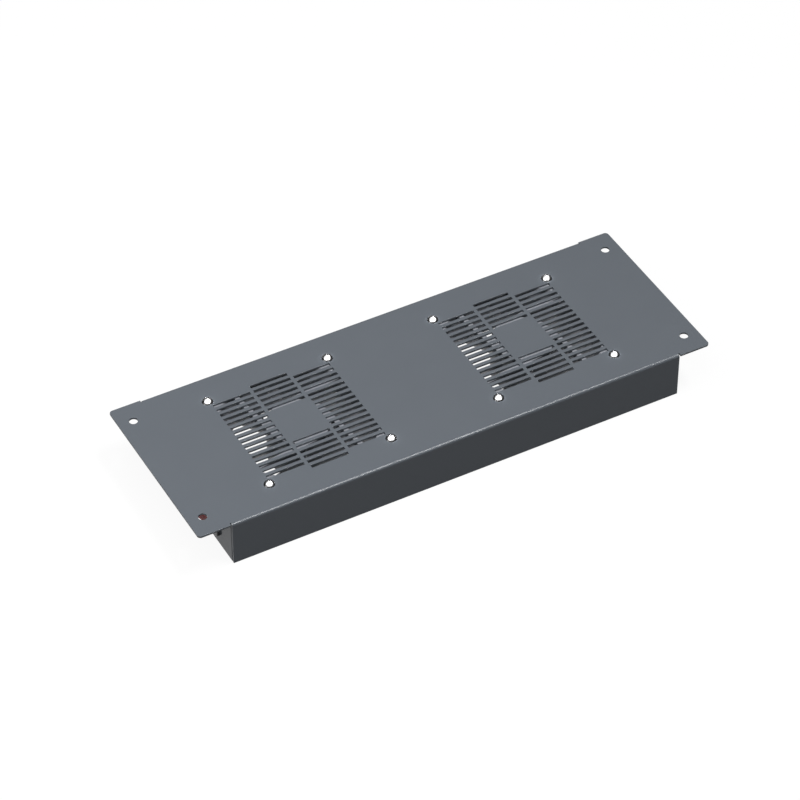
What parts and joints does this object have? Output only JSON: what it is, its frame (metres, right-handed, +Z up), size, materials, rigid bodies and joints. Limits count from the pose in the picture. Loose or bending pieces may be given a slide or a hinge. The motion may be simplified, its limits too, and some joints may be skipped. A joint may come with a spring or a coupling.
{
  "type": "rack fan tray",
  "caption": "Folded sheet-metal fan tray for a server rack, with axial mains fans under slotted grilles, a rocker switch and an appliance inlet on one end.",
  "frame": {"origin": "middle of the footprint, on the plane of the walls' bottom edges", "axes": "+X along the tray, from the end with the switch and the inlet towards the plain end; +Y towards the rear wall, away from the switch; +Z up, out of the slotted plate"},
  "size_m": [0.45, 0.157, 0.0433],
  "materials": {
    "tray_sheet": "fine-grained grey powder coat, satin",
    "fan_casting": "plain die casting, satin",
    "impeller_plastic": "moulded, matte grey",
    "rotor_steel": "plain turned or stamped steel",
    "bearing_bronze": "sintered bronze, dull",
    "tube_brass": "plain turned brass",
    "coil_copper": "enamelled winding wire",
    "black_plastic": "moulded, matte black",
    "tab_brass": "tinned brass",
    "clear_sleeve": "natural nylon cover",
    "screw_chrome": "polished domed head",
    "zinc_steel": "bright zinc plate",
    "switch_black": "moulded, satin black",
    "rocker_red": "moulded, glossy red",
    "inlet_black": "moulded, matte black",
    "pin_nickel": "nickel plate",
    "lead_black": "plain wire insulation",
    "earth_green": "green and yellow wire insulation",
    "clip_nylon": "natural nylon"
  },
  "bodies": {
    "tray": {"earth_lead": "earth_green", "earth_nut": "zinc_steel", "earth_stud": "zinc_steel", "earth_terminal": "tab_brass", "inlet_housing": "inlet_black", "inlet_nuts": "zinc_steel", "inlet_pins": "pin_nickel", "inlet_receptacles": "clear_sleeve", "inlet_screws": "zinc_steel", "left_end_plate": "tray_sheet", "left_fan_bearing_cap": "black_plastic", "left_fan_bearing_tube": "tube_brass", "left_fan_bearings": "bearing_bronze", "left_fan_housing": "fan_casting", "left_fan_leads": "lead_black", "left_fan_nuts": "zinc_steel", "left_fan_receptacles": "clear_sleeve", "left_fan_screws": "screw_chrome", "left_fan_stator_coils": "coil_copper", "left_fan_stator_core": "rotor_steel", "left_fan_terminal_block": "black_plastic", "left_fan_terminal_tabs": "tab_brass", "left_fan_washers": "zinc_steel", "right_end_plate": "tray_sheet", "right_fan_bearing_cap": "black_plastic", "right_fan_bearing_tube": "tube_brass", "right_fan_bearings": "bearing_bronze", "right_fan_housing": "fan_casting", "right_fan_leads": "lead_black", "right_fan_nuts": "zinc_steel", "right_fan_receptacles": "clear_sleeve", "right_fan_screws": "screw_chrome", "right_fan_stator_coils": "coil_copper", "right_fan_stator_core": "rotor_steel", "right_fan_terminal_block": "black_plastic", "right_fan_terminal_tabs": "tab_brass", "right_fan_washers": "zinc_steel", "supply_leads": "lead_black", "switch_housing": "switch_black", "switch_receptacles": "clear_sleeve", "switch_terminals": "tab_brass", "tray_plate": "tray_sheet", "wire_clips": "clip_nylon"},
    "left_rotor": {"left_fan_impeller": "impeller_plastic", "left_fan_rotor_ring": "rotor_steel", "left_fan_shaft": "rotor_steel", "left_fan_retaining_ring": "rotor_steel"},
    "right_rotor": {"right_fan_impeller": "impeller_plastic", "right_fan_rotor_ring": "rotor_steel", "right_fan_shaft": "rotor_steel", "right_fan_retaining_ring": "rotor_steel"},
    "rocker": {"switch_rocker": "rocker_red"}
  },
  "joints": [
    {"name": "left_rotor_spin", "type": "hinge", "parent": "tray", "child": "left_rotor", "pos_m": [-0.1, 0, 0.02], "axis": [0, 0, 1], "continuous": true},
    {"name": "right_rotor_spin", "type": "hinge", "parent": "tray", "child": "right_rotor", "pos_m": [0.1, 0, 0.02], "axis": [0, 0, 1], "continuous": true},
    {"name": "switch_rock", "type": "hinge", "parent": "tray", "child": "rocker", "pos_m": [-0.197, -0.0396, 0.0205], "axis": [0, 0, 1], "range_deg": [-20, 0]}
  ]
}
